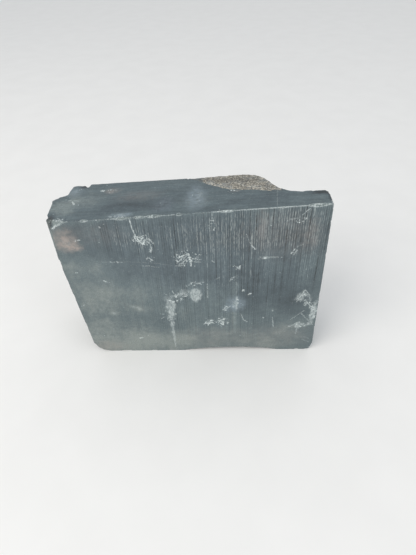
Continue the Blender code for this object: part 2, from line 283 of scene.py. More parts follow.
frontPatches = {  # centre, half sizes, strength and, on the turned ones, degrees
    "pale": (
        (34, 10, 58, 26, 0.39), (18, 58, 26, 44, 0.16), (42, 52, 32, 26, 0.17),
        (51.5, 50, 7, 3.5, 0.26, -25), (33.5, 45, 5, 3.5, 0.26), (23.5, 37, 4, 3, 0.2),
        (20, 92, 20, 9, 0.18), (105, 9, 60, 20, 0.26), (160, 12, 38, 20, 0.22),
        (124.5, 55, 2.2, 36, 0.22), (110, 122, 30, 12, -0.12), (152, 70, 44, 34, -0.36),
        (152, 114, 50, 30, -0.38), (100, 96, 50, 38, -0.34), (70, 84, 30, 18, -0.1),
        (168, 50, 16, 18, -0.08), (76, 127, 60, 5, -0.16, 3), (46, 110, 40, 22, -0.32),
        (15.5, 109.5, 8, 6, 0.3, -20),
    ),
    "warm": (
        (12, 112, 9, 9, 0.74), (16.5, 109.5, 7, 5.2, 1, -20), (13, 120, 9, 6, 0.34),
        (34, 118, 22, 10, 0.1), (141.5, 122, 4, 15, 0.2), (156, 114, 30, 22, 0.12),
        (174, 114, 6, 14, 0.18), (155, 16, 36, 16, 0.12), (107, 16, 22, 14, 0.12), (22, 6, 16, 9, 0.28),
    ),
    "powder": (
        (64, 112.5, 8.5, 4.5, 0.74, -10), (60.5, 113.5, 2.6, 2.6, 0.95), (67, 97, 4.5, 2.5, 0.55),
        (90, 97, 9, 9, 0.62, 45), (94, 98.5, 1.8, 4.5, 0.8), (101, 98, 3.5, 6, 0.4),
        (96.5, 63, 4.6, 6.8, 0.42), (96, 73, 8, 3, 0.52, 12), (86, 63.5, 8, 5.5, 0.58),
        (82.5, 57.5, 5, 4, 0.62), (77, 60, 4.6, 8, 0.4, 20), (76.2, 44, 5.2, 17, 0.4, -3),
        (105, 33, 6, 3.6, 0.94, 20), (115.5, 33.5, 6, 6.5, 0.88), (126, 53.5, 5.5, 6.5, 0.42),
        (118.5, 49, 4.5, 3, 0.62, 50), (127, 88.5, 3, 3, 0.55), (123, 78, 3, 3, 0.5),
        (173, 60, 4.5, 7.5, 0.62, -20), (179.5, 52, 4, 7.5, 0.68, 30), (184, 44, 3.2, 16, 0.72, -5),
        (175.5, 29, 9, 4.5, 0.58), (143.5, 97, 4, 1.8, 0.66, 5), (110, 124, 3, 8, 0.36),
        (163.5, 101.5, 3, 3, 0.5), (165.5, 126.5, 4.5, 3, 0.62), (158, 127.5, 4, 2, 0.46, 20),
        (33, 77.5, 2.5, 1.5, 0.45), (43, 95, 6, 2, 0.36),
    ),
    "haze": (
        (96.2, 63, 5.2, 8.2, 1), (88, 66, 7, 4.5, 0.38), (84, 62, 8, 4, 0.36, 15),
        (76, 59, 4.6, 6, 0.26), (77, 50, 5.4, 15, 0.5, -3), (76.6, 38, 3.4, 18, 0.38, -3),
        (76.6, 20, 2, 20, 0.44), (126, 60, 1.1, 46, 0.34), (105, 33, 4.5, 2.8, 0.45, 15),
        (115.5, 34.5, 4.5, 5, 0.35), (126, 53.5, 6.5, 7.5, 0.32), (172.5, 60, 4.6, 8.5, 0.54, -20),
        (178.5, 57, 4.5, 9, 0.36, 10), (183.6, 43, 3.4, 17, 0.66, -5), (175.5, 29.5, 9, 3.6, 0.46),
        (174, 25, 2.6, 7, 0.36), (147, 96.8, 9, 1.8, 0.46, 2), (14, 112, 7, 6, 0.26),
        (152, 127, 18, 7, 0.22), (33, 44.5, 4, 3, 0.36), (51.5, 50.5, 7, 2.6, 0.36, -25),
    ),
    "cool": (
        (126, 53.5, 8, 9, 0.8), (120.5, 49, 6, 5, 0.45, 30), (90, 100, 90, 48, 0.15),
    ),
    "comb": (  # how clear the saw marks are
        (158, 122, 50, 26, 1), (176, 98, 16, 36, 0.5), (112, 116, 46, 26, 0.9), (58, 116, 38, 20, 0.76),
        (105, 85, 54, 28, 0.5), (148, 84, 38, 28, 0.44), (112, 48, 64, 34, 0.28),
        (80, 60, 120, 90, 0.1),
    ),
}

frontScratches = {  # strokes that lie together: half width, strength and points
    "topLeft": (
        (0.55, 0.85, (19.5, 113.5), (23, 114)), (0.8, 1, (7.4, 123), (8.4, 124)),
    ),
    "tangle": (
        (0.48, 0.85, (58, 128.5), (58.7, 122), (60.2, 115.5)),
        (0.5, 0.9, (59, 116.5), (60, 112.5), (63, 111)), (0.42, 0.7, (61.5, 115), (65.5, 116.5)),
        (0.42, 0.75, (63, 113), (68.5, 114), (71, 109.5)), (0.42, 0.6, (61.5, 110.5), (63, 113)),
        (0.42, 0.6, (66.5, 117), (68, 115.5)), (0.7, 0.8, (69, 107), (68.2, 103)),
        (0.45, 0.65, (64.5, 97), (67, 98), (68, 96)),
    ),
    "arcs": (
        (0.42, 0.45, (40.5, 94.5), (44, 95.2), (47.5, 94.5)),
        (0.42, 0.36, (61, 91), (65, 91.2), (72, 89.5)),
        (0.36, 0.12, (33, 95), (52, 94.9), (70, 93.4), (82, 91)),
    ),
    "hatching": (
        (0.45, 0.62, (85, 93), (90, 98.5)), (0.45, 0.66, (86, 90.5), (92, 96.5)),
        (0.4, 0.5, (84, 90.5), (88.5, 93.5)), (0.45, 0.62, (89.5, 96), (93.5, 101)),
        (0.4, 0.55, (90.5, 103.5), (94.5, 99)), (0.6, 0.95, (93.4, 101), (94.2, 96.5), (94.4, 90.5)),
        (0.42, 0.55, (94, 96.8), (101.5, 95.8)), (0.42, 0.42, (96, 94), (101.5, 93.5)),
        (0.55, 0.5, (109, 94.5), (110.5, 93.5)),
    ),
    "level": (
        (0.42, 0.4, (141, 97.2), (153.5, 97)), (0.4, 0.34, (140, 95.6), (147, 96)),
    ),
    "ladder": (
        (0.4, 0.45, (109, 127), (111, 127.4)), (0.4, 0.38, (109, 124.8), (111.2, 125)),
        (0.35, 0.4, (110, 132), (110, 128.5)),
    ),
    "slant": (
        (0.36, 0.4, (131.5, 116.5), (135, 107.5)), (0.5, 0.8, (135, 107.5), (138, 104)),
    ),
    "pair": (
        (0.55, 0.72, (162, 100), (163.8, 103.6)), (0.5, 0.6, (163.8, 98.8), (165.4, 102.6)),
        (0.42, 0.3, (165.5, 105.6), (169, 107.4)),
    ),
    "topRight": (
        (0.45, 0.62, (170, 134.5), (166, 130)), (0.42, 0.34, (164, 128), (159, 126.8)),
    ),
    "arch": (
        (0.5, 0.86, (175.2, 66.5), (172.5, 60), (170.5, 55)), (0.42, 0.72, (174.5, 63.5), (170, 56.5)),
        (0.42, 0.5, (174, 59.5), (173, 54.5)), (0.5, 0.55, (175.5, 66), (178.5, 62), (179.5, 57)),
        (0.6, 0.6, (176.5, 56.5), (182, 48)),
    ),
    "lowRight": (
        (0.42, 0.5, (167.5, 35.5), (177, 45.5)), (0.55, 0.46, (175, 42), (181.5, 34)),
        (0.65, 0.52, (166.5, 27.5), (170.5, 29.5), (174, 33), (178.5, 29), (185, 30)),
        (0.6, 0.42, (174, 33), (173, 19.5)), (0.4, 0.4, (180, 15.5), (184, 13.5)),
        (0.4, 0.34, (179, 12), (185, 9)),
    ),
    "aboveRound": (
        (0.42, 0.56, (96, 73.6), (103, 75.4)), (0.4, 0.5, (94.5, 75), (97, 76)),
        (0.4, 0.44, (105, 73.5), (105, 67), (104.8, 60)),
    ),
    "leftOfRound": (
        (0.45, 0.75, (81.5, 60.5), (84, 64.5)), (0.42, 0.5, (86.5, 61), (92, 66)),
        (0.42, 0.5, (87, 65.5), (90.5, 62)), (0.5, 0.6, (79.5, 67), (82, 62)),
        (0.8, 0.95, (82, 57), (82.2, 56.2)),
    ),
    "smear": (
        (0.55, 0.48, (76.5, 32), (76.8, 5)), (0.42, 0.4, (68.5, 43.5), (71, 43)),
        (0.42, 0.42, (68.5, 38), (70.5, 39.5)),
    ),
    "belowBlue": (
        (0.9, 0.8, (116.5, 37), (117.5, 37.4)), (0.5, 0.8, (116, 47), (118.5, 50.5)),
        (0.45, 0.6, (118.5, 47.5), (121.5, 51)),
    ),
    "dots": (
        (1.05, 1, (130.4, 66.6), (131.2, 66.6)), (0.95, 1, (135, 62.6), (136, 63.5)),
    ),
    "besidePaleLine": (
        (0.45, 0.65, (124.5, 90), (128, 86.5)), (0.42, 0.5, (125.5, 86.5), (128.5, 90)),
        (0.45, 0.68, (121, 76), (124.5, 80)), (0.42, 0.4, (111.5, 78), (114, 80)),
    ),
    "hook": (
        (0.45, 0.52, (129.5, 42.5), (131.5, 36), (134.5, 33.5)), (0.6, 0.7, (146.4, 38), (147.1, 37.8)),
        (0.55, 0.7, (153, 46), (153.5, 45)), (0.45, 0.5, (153.6, 38), (155, 27.5)),
    ),
    "dotsLeft": (
        (0.55, 0.7, (13.5, 86), (14.5, 86)), (0.6, 0.85, (31.5, 78), (33.5, 77)),
        (0.45, 0.45, (10, 53), (12.5, 54.5)), (0.85, 1, (49, 16), (50.5, 16)),
        (0.55, 0.6, (38, 124), (38, 123.4)),
    ),
}

topPatches = {
    # the dark spot at (18.5, 44) is a painted shadow under the raised lobe's rim; the pale one at (99.5,
    # 19) is part of a painted sheen
    "pale": (
        (11, 20, 13, 11, 0.46), (14, 10, 8, 5, 0.26), (13.5, 36.5, 6, 7, 0.24), (99.5, 19, 9, 16, 0.14),
        (40, 36, 9, 5, 0.16), (52, 3.5, 10, 2.6, 0.16), (55, 12, 28, 8, -0.28), (79, 12.5, 9, 9, -0.38),
        (30, 26, 26, 16, 0.1), (70, 24, 40, 24, -0.1), (122, 22, 9, 4, -0.16), (135, 12, 30, 8, -0.14),
        (13, 4, 4, 3, -0.16), (18.5, 44, 4.5, 2.4, -0.85), (180, 14.5, 8, 2.6, -0.85),
        (184.2, 8, 2.4, 8, -0.85), (4, 4, 4.4, 9, -0.85), (122, 41.2, 24, 5, -0.85, -5),
        (146.5, 28.5, 9, 3, -0.5, -55), (107.5, 37.8, 6.5, 3.4, 0.6, -35), (10, 2.5, 5, 4, 0.1),
    ),
    "warm": (
        (41, 35.5, 6, 4, 0.4), (60, 26, 18, 8, 0.14), (125.7, 24, 3, 1.6, 0.3),
    ),
    "powder": (
        (33.4, 36.6, 1.6, 1.4, 1), (15.8, 22.7, 1.2, 2.6, 0.9, 30), (15.4, 39.5, 4, 2.4, 0.62),
        (49, 2.6, 6, 1.7, 0.54), (41, 36, 6.5, 3.5, 0.42), (124, 24, 6, 2.6, 0.42), (13, 5, 6, 4, 0.36),
    ),
    # the hazy patch at (101.5, 19) is part of the painted sheen
    "haze": (
        (52, 4.2, 9.5, 3.2, 0.34), (125, 24, 4, 1.6, 0.3), (101.5, 19, 4.5, 16, 0.3),
    ),
    # the bluish patches at (78.5, 12.5) and (99.5, 19) are a painted sheen
    "cool": (
        (78.5, 12.5, 8.5, 11, 0.36), (99.5, 19, 8, 18, 0.6), (52, 3.5, 9.5, 3, 0.7),
        (13.5, 38, 7, 7, 0.55),
    ),
}

topScratches = {
    "fleckByStep": ((0.75, 1, (15.2, 24.2), (17.2, 21.2)),),
    "brightDot": ((1.1, 1, (33, 36.8), (34.4, 36.5)),),
    "acrossTop": ((0.4, 0.2, (150.1, 0.8), (151.4, 13), (152.4, 22)),),
    "stepLine": ((0.4, 0.42, (9, 29), (14, 26.5), (20.4, 24.9)),),
    "nearCorner": ((0.45, 0.5, (10.5, 5.2), (12.6, 3.6), (11, 2.8)),),
}

# corners rubbed round: place and reach, in mm
wornCorners = (
    ((1, 31, 127), 3.5),
    ((12.5, 46.6, 127), 3.5),
    ((2.4, 7.5, 127), 2.8),
    ((184.5, 15, 137.5), 2.8),
    ((186.5, 1, 137), 3),
)
wear = {"rounds": 20, "most": 0.5, "gain": 1.6}  # the gain widens the full wear
# small swells and hollows: place, reach and how far the stone is moved, in mm
nudges = (
    ((1.4, 28.5, 127.2), 4.5, (-0.9, 1.8, 0)),
    ((3.4, 6.4, 127.2), 3.5, (-0.7, 0, 0)),
    ((8.8, 37.2, 127.4), 4, (0.6, -1.7, 0)),
    ((12, 44.6, 127.6), 4.6, (-0.5, 2, 0.2)),
    ((17.2, 47.9, 128.2), 3.2, (0, -1.5, -0.3)),
    ((21.2, 45.8, 128.5), 3, (0, -1.1, -0.9)),
    ((10.5, 27.5, 127.6), 3, (0.3, -0.4, -0.7)),
)

# how pale the front's top arris is, from left to right: place and strength
arrisPale = (
    (0, 0.1), (6.5, 0.1), (8, 0.8), (13, 0.75), (15.5, 0.3), (24, 0.2), (27, 0.6), (31, 0.6), (33, 0.25),
    (37, 0.7), (38, 0.3), (45, 0.65), (50, 0.65), (57, 0.4), (62, 0.65), (66, 0.3), (69, 0.7), (72, 0.65),
    (76, 0.3), (80, 0.6), (90, 0.55), (92, 0.25), (104, 0.4), (108, 0.35), (114, 0.9), (122, 0.9),
    (124, 0.5), (132, 0.75), (174, 0.75), (175, 0.7), (182, 0.7), (184, 0.6),
)


rims = {  # of the patches
    "lump": 4.0,  # mm
    "stray": 1.5,  # mm
    "most": 0.28,  # but at most this share of the patch
    "reach": 1.25,  # where a patch ends, in its half sizes
}


def smoothStep(share):
    return share * share * (3.0 - 2.0 * share)


def patchField(points, ellipses, seed):
    # soft ellipses with ragged rims, smoother on the broad ones; the dark ones are negative
    field = np.zeros(len(points))
    ragged = grain(np.column_stack((points, np.zeros(len(points)))), rims["lump"], seed)
    for x, v, halfX, halfV, strength, *turn in ellipses:
        angle = math.radians(sum(turn))
        right = points[:, 0] - x
        up = points[:, 1] - v
        along = (right * math.cos(angle) + up * math.sin(angle)) / halfX
        across = (up * math.cos(angle) - right * math.sin(angle)) / halfV
        rim = min(rims["most"], rims["stray"] / min(halfX, halfV))
        share = np.clip(rims["reach"] - np.hypot(along, across) + rim * ragged, 0.0, 1.0)
        field += smoothStep(share) * strength * np.clip(1.0 - np.abs(field), 0.0, 1.0)
    return field


def grain(points, size, seed, detail=3):
    # lumps of about this size in mm, from -1 to 1
    shift = Vector((seed, 1.7 * seed, 0.6 * seed))
    return np.array([noise.fractal(Vector(point) / size + shift, 0.9, 2.1, detail) for point in points])


def lumpy(points, kind):
    size, height, seed = lumps[kind]
    return height * grain(points, size, seed)


def grainShare(points, size, seed):
    # the grain from 0 to 1
    return np.clip(0.5 + grain(points, size, seed), 0.0, 1.0)


def makePiece(shape):
    mesh = bpy.data.meshes.new("wonderstoneBlock")
    bmesh.ops.triangulate(shape, faces=shape.faces)
    shape.to_mesh(mesh)
    shape.free()
    return addObject("wonderstoneBlock", mesh)


def readArray(items, field, width, kind=np.float32):
    values = np.empty(len(items) * width, kind)
    items.foreach_get(field, values)
    return values.reshape(-1, width) if width > 1 else values


def wearCorners(mesh):
    # averages each point with its neighbours, most at the worn corners, then makes swells and hollows
    points = readArray(mesh.vertices, "co", 3).astype(float)
    firsts, seconds = readArray(mesh.edges, "vertices", 2, np.int32).T
    neighbours = np.bincount(np.concatenate((firsts, seconds)), minlength=len(points))[:, None]
    gaps = [1.0 - np.linalg.norm(points - place, axis=1) / reach for place, reach in wornCorners]
    weight = wear["most"] * np.clip(wear["gain"] * np.max(gaps, axis=0), 0.0, 1.0)[:, None]
    for _ in range(wear["rounds"]):
        total = np.zeros_like(points)
        np.add.at(total, firsts, points[seconds])
        np.add.at(total, seconds, points[firsts])
        points += weight * (total / neighbours - points)
    for place, reach, move in nudges:
        share = np.clip(1.0 - np.linalg.norm(points - place, axis=1) / reach, 0.0, 1.0)
        points += smoothStep(share)[:, None] * move
    mesh.vertices.foreach_set("co", points.astype(np.float32).ravel())
    mesh.update()
    return points


def markCreases(mesh):
    # the arrises stay crisp, and all else is shaded smooth
    shape = bmesh.new()
    shape.from_mesh(mesh)
    for face in shape.faces:
        face.smooth = True
    for edge in shape.edges:
        edge.smooth = edge.calc_face_angle(0.0) < creaseAngle
    shape.to_mesh(mesh)
    shape.free()


def creaseGaps(mesh, points):
    # how far each point is from the nearest crease, in mm
    sharp = readArray(mesh.attributes["sharp_edge"].data, "value", 1, bool)
    ends = readArray(mesh.edges, "vertices", 2, np.int32)[sharp]
    onCrease = np.concatenate((points[np.unique(ends)], points[ends].mean(axis=1)))
    tree = kdtree.KDTree(len(onCrease))
    for number, place in enumerate(onCrease):
        tree.insert(place, number)
    tree.balance()
    return np.array([tree.find(point)[2] for point in points])


nicks = {  # mm
    "length": 2.4,
    "deepest": 0.60,
    "reach": 1.1,
    "threshold": 0.16,
    "band": (4.5, 4.0),  # the front's top arris reaches this far back and this far down
    "elsewhere": 0.28,  # share of that depth on all other arrises
}
waves = {"height": 0.12, "length": 34.0, "fade": 6.0}  # where the blade strayed, mm
hollows = {  # the blade's marks: stretch of the grain, its size in mm, its seed and its depth in mm
    "top": ((0.12, 1.0, 1.0), 2.2, 9.4, 0.05),
    "under": ((1.0, 0.1, 1.0), 2.0, 3.9, 0.08),
}
frontWear = {
    "fading": (0.62, 0.15),  # how deep the grooves are on average and at least, as a share
    "combed": (0.35, 0.65),  # how deep where no marks show, and how much deeper where they do
    "pits": (1.6, 0.12),  # size and depth in the scuffs, mm
}
endWear = {
    "comb": (16.0, 0.15, 0.55),  # patch size in mm, how clear the marks are at least, and how much more
    "scuffs": (11.0, 0.12, 0.5),  # patch size in mm, where they start in the grain, and the strongest
    "powder": 0.55,  # how much powder a scuff has
}
lumps = {  # size and height in mm, and seed
    "broken": (1.8, 0.10, 5.7),
    "rindSwell": (13.0, 0.60, 7.1),
    "rindCoarse": (2.6, 0.20, 4.4),
    "rindFine": (1.05, 0.14, 8.8),
}
jointRoughness = 0.25  # share of the rind's grain that is left on the joint
jointSteps = (26.0, 0.45, 4, 0.22)  # shallow terraces: width and height in mm, count and ramp
topBand = 6.0  # mm, how far the top's patches reach down the faces beside it
gapMost = 8.0  # mm, gaps from an arris are kept up to here
lookNames = ("pale", "warm", "cool", "powder", "haze", "comb", "rind", "groove", "arris")


def faceDirections(points, triangles):
    # the shading direction of each point, from these triangles alone
    first, second, third = points[triangles.T]
    cross = np.cross(second - first, third - first)
    facing = np.zeros_like(points)
    for corners in triangles.T:
        np.add.at(facing, corners, cross)
    return facing / np.maximum(np.linalg.norm(facing, axis=1, keepdims=True), 1e-9)


def strongest(own, fields, patchesOf, flat, seed):
    # lays the listed patches over what the points already have
    for name, ellipses in patchesOf.items():
        found = patchField(flat, ellipses, seed)
        kept = fields[name][own]
        fields[name][own] = np.where(np.abs(found) > np.abs(kept), found, kept)


def frontRelief(own, place, depth, looks):
    # grooves that fade in and out along their length, and pits in the scuffs
    strongest(own, looks, frontPatches, place[:, (0, 2)], seed=3.3)
    usual, least = frontWear["fading"]
    fading = np.clip(usual + grain(place * (0.4, 1.0, 0.04), 1.0, seed=6.6), least, 1.0)
    groove = np.interp(place[:, 0], *sawProfile("front")) * fading
    looks["groove"][own] = groove / sawMarks["depth"][1]
    least, more = frontWear["combed"]
    depth -= groove * (least + more * looks["comb"][own])
    pitSize, pitDepth = frontWear["pits"]
    depth -= pitDepth * looks["powder"][own] * grainShare(place, pitSize, seed=6.1)


def endRelief(own, place, depth, looks):
    # saw marks that show in patches, with faint scuffs
    groove = np.interp(place[:, 1], *sawProfile("ends"))
    size, least, more = endWear["comb"]
    clear = least + more * grainShare(place * (1.0, 1.0, 0.5), size, seed=2.6)
    size, start, most = endWear["scuffs"]
    scuffs = np.clip(grain(place * (1.0, 1.0, 0.6), size, seed=6.9) - start, 0.0, most)
    for name, values in (
        ("groove", groove / sawMarks["depth"][1]),
        ("comb", clear),
        ("powder", endWear["powder"] * scuffs),
        ("haze", scuffs),
    ):
        looks[name][own] = np.maximum(looks[name][own], values)
    depth -= groove


def backRelief(own, place, depth, looks, inland, below):
    # gritty rind right of the seam and a terraced joint left of it; below is the depth under the top
    past = np.array([pastSeam(x, z) for x, y, z in place])
    past -= seam["tip"] * np.clip((seam["tipFrom"] - below) / seam["tipFrom"], 0.0, 1.0)
    low = np.clip((below - seam["lowFrom"]) / seam["lowLength"], 0.0, 1.0)
    least, more = seam["ragged"]
    ragged = (least + more * low) * grain(place, seam["lump"], seed=1.2)
    share = np.clip(past / seam["fade"] + ragged, 0.0, 1.0)
    looks["rind"][own] = share
    depth += share * low * lumpy(place, "rindSwell")
    gritty = jointRoughness + (1.0 - jointRoughness) * share
    depth += gritty * (lumpy(place, "rindCoarse") + lumpy(place, "rindFine"))
    width, height, count, ramp = jointSteps
    climb = count * grain(place * (1.0, 1.0, 0.55), width, seed=2.9, detail=5)
    rise = np.floor(climb) + smoothStep(np.clip((climb % 1.0) / ramp, 0.0, 1.0))
    tread = 0.5 * height * (rise + count) / count
    depth -= (1.0 - share) * inland * tread


def reliefAndLooks(mesh, points):
    # moves each face's points along that face's own direction, so that shared edges stay joined
    regionOf = readArray(mesh.polygons, "material_index", 1, np.int32)
    triangles = readArray(mesh.loops, "vertex_index", 1, np.int32).reshape(-1, 3)
    gap = creaseGaps(mesh, points)
    topAt = topAtLeft + topRise * points[:, 0]
    bandBack, bandDown = nicks["band"]
    onArris = (points[:, 1] < bandBack) & (points[:, 2] > topAt - bandDown)
    nick = grain(points, nicks["length"], seed=2.2) - nicks["threshold"]
    nick = np.clip(nick, 0.0, 1.0) * nicks["deepest"]
    nick *= np.clip(1.0 - gap / nicks["reach"], 0.0, 1.0) * np.where(onArris, 1.0, nicks["elsewhere"])
    looks = {name: np.zeros(len(points)) for name in lookNames}
    looks["gap"] = np.minimum(gap, gapMost)
    looks["arris"] = np.interp(points[:, 0], *zip(*arrisPale)) * onArris
    moves = np.zeros_like(points)
    for number, region in enumerate(regions[:-2]):
        triangle = triangles[regionOf == number]
        own = np.unique(triangle)
        place = points[own]
        inland = np.clip(gap[own] / waves["fade"], 0.0, 1.0)
        depth = -nick[own]
        if region in facings:
            facing = np.array(facings[region])
            slow = grainShare(place, waves["length"], seed=1.5 + number)
            depth -= waves["height"] * slow * inland
        else:
            facing = faceDirections(points, triangle)[own]
        if region == "front":
            frontRelief(own, place, depth, looks)
        elif region in ("left", "right"):
            endRelief(own, place, depth, looks)
        elif region == "back":
            backRelief(own, place, depth, looks, inland, topAt[own] - place[:, 2])
        elif region in hollows:
            stretch, size, seed, deepest = hollows[region]
            depth -= deepest * grainShare(place * stretch, size, seed)
        else:
            depth += lumpy(place, "broken")
        if region in ("top", "back", "broken"):
            high = own[points[own, 2] > topAt[own] - topBand]
            strongest(high, looks, topPatches, points[high][:, :2], seed=7.9)
        moves[own] += depth[:, None] * facing
    moved = (points + moves + np.array(corner)) * mm
    mesh.vertices.foreach_set("co", moved.astype(np.float32).ravel())
    mesh.update()
    for name, values in looks.items():
        attribute = mesh.attributes.new(name, "FLOAT", "POINT")
        attribute.data.foreach_set("value", values.astype(np.float32))
    return regionOf


# Colours and finishes

smooth = {"interpolation_type": "SMOOTHSTEP", "clamp": False}  # for a range with soft ends


def blockPlace(tree):
    # object space in mm from the block's corner
    place = addNode(tree, "TexCoord", out="Object")
    return addNode(tree, "VectorMath MULTIPLY_ADD", (place, (1 / mm,) * 3, -corner))


def patches(tree, place, size, span=(0.0, 1.0), levels=(0.0, 1.0), **grainOf):
    # soft-edged noise with lumps of this size in mm, spread from one level to the other
    sizes = (size,) * 3 if isinstance(size, float) else size
    scaled = addNode(tree, "VectorMath MULTIPLY", (place, [1.0 / side for side in sizes]))
    texture = addNode(tree, "TexNoise", {"Vector": scaled, "Scale": 1.0, "Detail": 4.0, **grainOf})
    return addNode(tree, "MapRange", (texture, *span, *levels), **smooth)


def overlay(tree, below, code, share, most=1.0):
    # one colour laid over another, as far as the share and the most allow
    if most < 1.0:
        share = addNode(tree, "Math MULTIPLY", (share, most))
    mix = {0: share, 6: below, 7: hexColour(code)}
    return addNode(tree, "Mix", mix, out=2, data_type="RGBA", clamp_factor=True)


def crumbShades(tree, place, scale):
    # crumbs, each with a shade of its own, and how far each place is from its crumb's middle
    scaled = addNode(tree, "VectorMath MULTIPLY", (place, scale))
    middle = addNode(tree, "TexVoronoi", {"Vector": scaled, "Scale": 1.0}, out="Distance")
    return addNode(tree, "SeparateColor", (middle.node.outputs["Color"],)), middle


strokes = {
    "sway": 1.5,  # mm, how far they stray from straight
    "fade": (1.35, 0.35),  # in half widths, where one starts to show and where it is full
}


def scratchShare(tree, place, scratches, flat):
    # the strongest scratch at each place, each a run of strokes; flat is (1, 0, 1) for marks given by x
    # and z, and (1, 1, 0) for those by x and y
    total = 0.0
    broken = patches(tree, place, 0.85, (0.42, 0.56), (0.05, 1.0), Detail=3.0)
    wobble = addNode(tree, "TexNoise", {"Vector": place, "Scale": 0.70, "Detail": 4.0}, out="Color")
    place = addNode(tree, "VectorMath MULTIPLY_ADD", (wobble, (strokes["sway"],) * 3, place))
    centred = [-0.5 * strokes["sway"] * side for side in flat]
    place = addNode(tree, "VectorMath MULTIPLY_ADD", (place, flat, centred))
    outer, inner = strokes["fade"]
    marks = [mark for group in scratches.values() for mark in group]
    for halfWidth, strength, *points in marks:
        ends = [Vector((x, v * flat[1], v * flat[2])) for x, v in points]
        for start, end in zip(ends, ends[1:]):
            run = end - start
            fromStart = addNode(tree, "VectorMath SUBTRACT", (place, start))
            dot = (fromStart, run / run.length_squared)
            along = addNode(tree, "VectorMath DOT_PRODUCT", dot, out="Value")
            along = addNode(tree, "Clamp", (along,))
            nearest = addNode(tree, "VectorMath SCALE", {0: run, "Scale": along})
            gap = addNode(tree, "VectorMath DISTANCE", (fromStart, nearest), out="Value")
            line = (gap, outer * halfWidth, inner * halfWidth, 0.0, strength)
            line = addNode(tree, "MapRange", line, **smooth)
            total = addNode(tree, "Math MAXIMUM", (total, line))
    return addNode(tree, "Math MULTIPLY", (total, broken))


slate = {
    "dark": "#4a565b",
    "middle": "#5f6c6f",
    "pale": "#858d8a",
    "warm": "#a2968e",
    "cool": "#7e8d97",
    "powder": "#d6dfde",
    "dust": "#cbcdc6",
    "bruise": "#8e9793",
    "ior": 1.57,  # pyrophyllite lies between 1.55 and 1.60
}


def slateColour(tree, place, cloudSize, mottleSize, mottle=0.15):
    # the stone's colour: slow clouds, close mottling and the listed paler and darker patches
    # on the top these patches also hold a painted shadow under the raised lobe's rim and a painted sheen
    tone = addNode(tree, "Attribute pale", out="Fac")
    clouds = patches(tree, place, cloudSize, (0.25, 0.75), (-0.20, 0.20), Detail=6.0, Roughness=0.62)
    span = (0.42 - mottle, 0.42 + mottle)
    close = patches(tree, place, mottleSize, (0.25, 0.75), span, Detail=5.0, Roughness=0.65)
    tone = addNode(tree, "Math ADD", (tone, clouds))
    tone = addNode(tree, "Math ADD", (tone, close))
    lower = addNode(tree, "MapRange", (tone, 0.0, 0.5), **smooth)
    upper = addNode(tree, "MapRange", (tone, 0.42, 1.0), **smooth)
    shade = addNode(tree, "MapRange", (tone, -0.4, 0.1, 0.4, 1.0), **smooth)
    colour = overlay(tree, hexColour(slate["dark"]), slate["middle"], lower)
    colour = overlay(tree, colour, slate["pale"], upper)
    return addNode(tree, "VectorMath SCALE", {0: colour, "Scale": shade})


def tinted(tree, colour, place, size):
    # the warm and bluish stains, with ragged rims; on the top some bluish patches are a painted sheen
    for name in ("warm", "cool"):
        share = addNode(tree, "Attribute " + name, out="Fac")
        blotches = patches(tree, place, size, (0.36, 0.60), (0.35, 1.0), Detail=6.0, Roughness=0.7)
        share = addNode(tree, "Math MULTIPLY", (share, blotches))
        colour = overlay(tree, colour, slate[name], share)
    return colour


def cutOff(tree, texture, level, fall, start, width, most=1.0):
    # a texture above a threshold, which falls as the level rises
    first = addNode(tree, "Math MULTIPLY_ADD", (level, fall, start))
    last = addNode(tree, "Math ADD", (first, width))
    return addNode(tree, "MapRange", (texture, first, last, 0.0, most))


def powderShare(tree, place):
    # crushed stone in scuffs: loose crumbs and slanting strokes that lie closer where the field is
    # stronger, and a thin hazy film with a crisp rim around them, which on the top is also a painted
    # sheen
    powder = addNode(tree, "Attribute powder", out="Fac")
    haze = addNode(tree, "Attribute haze", out="Fac")
    ragged = patches(tree, place, 2.6, (0.32, 0.66), (0.25, 1.15))
    level = addNode(tree, "Math MULTIPLY", (powder, ragged))
    # crumbs of about 0.9 mm, each with a brightness of its own
    crumbs = crumbShades(tree, place, (1.1,) * 3)[0]
    crumbs = cutOff(tree, crumbs, level, -0.62, 0.98, 0.25, 0.95)
    slanted = {"Vector": place, "Angle": math.radians(45.0)}
    slanted = addNode(tree, "VectorRotate", slanted, rotation_type="Y_AXIS")
    streaks = patches(tree, slanted, (3.2, 3.2, 0.55), Detail=3.0, Roughness=0.6)
    streaks = cutOff(tree, streaks, level, -0.20, 0.74, 0.09, 0.85)
    marks = addNode(tree, "Math MAXIMUM", (crumbs, streaks))
    reach = addNode(tree, "MapRange", (level, 0.04, 0.25))
    marks = addNode(tree, "Math MULTIPLY", (marks, reach))
    rim = addNode(tree, "Math MULTIPLY_ADD", (ragged, 0.16, haze))
    rim = addNode(tree, "MapRange", (rim, 0.30, 0.80), **smooth)
    thin = patches(tree, place, (0.8, 0.8, 3.6), (0.34, 0.66), (0.14, 0.72), Detail=5.0, Roughness=0.7)
    haze = addNode(tree, "Math MULTIPLY", (rim, thin))
    marks = addNode(tree, "Math MAXIMUM", (marks, haze))
    # single specks of dust, about 0.6 mm across and some 10 mm apart
    chance, specks = crumbShades(tree, place, (0.34,) * 3)
    chance = addNode(tree, "MapRange", (chance, 0.94, 1.0, 0.1, 0.7))
    specks = addNode(tree, "MapRange", (specks, 0.20, 0.06))
    specks = addNode(tree, "Math MULTIPLY", (specks, chance))
    return addNode(tree, "Math MAXIMUM", (marks, specks))


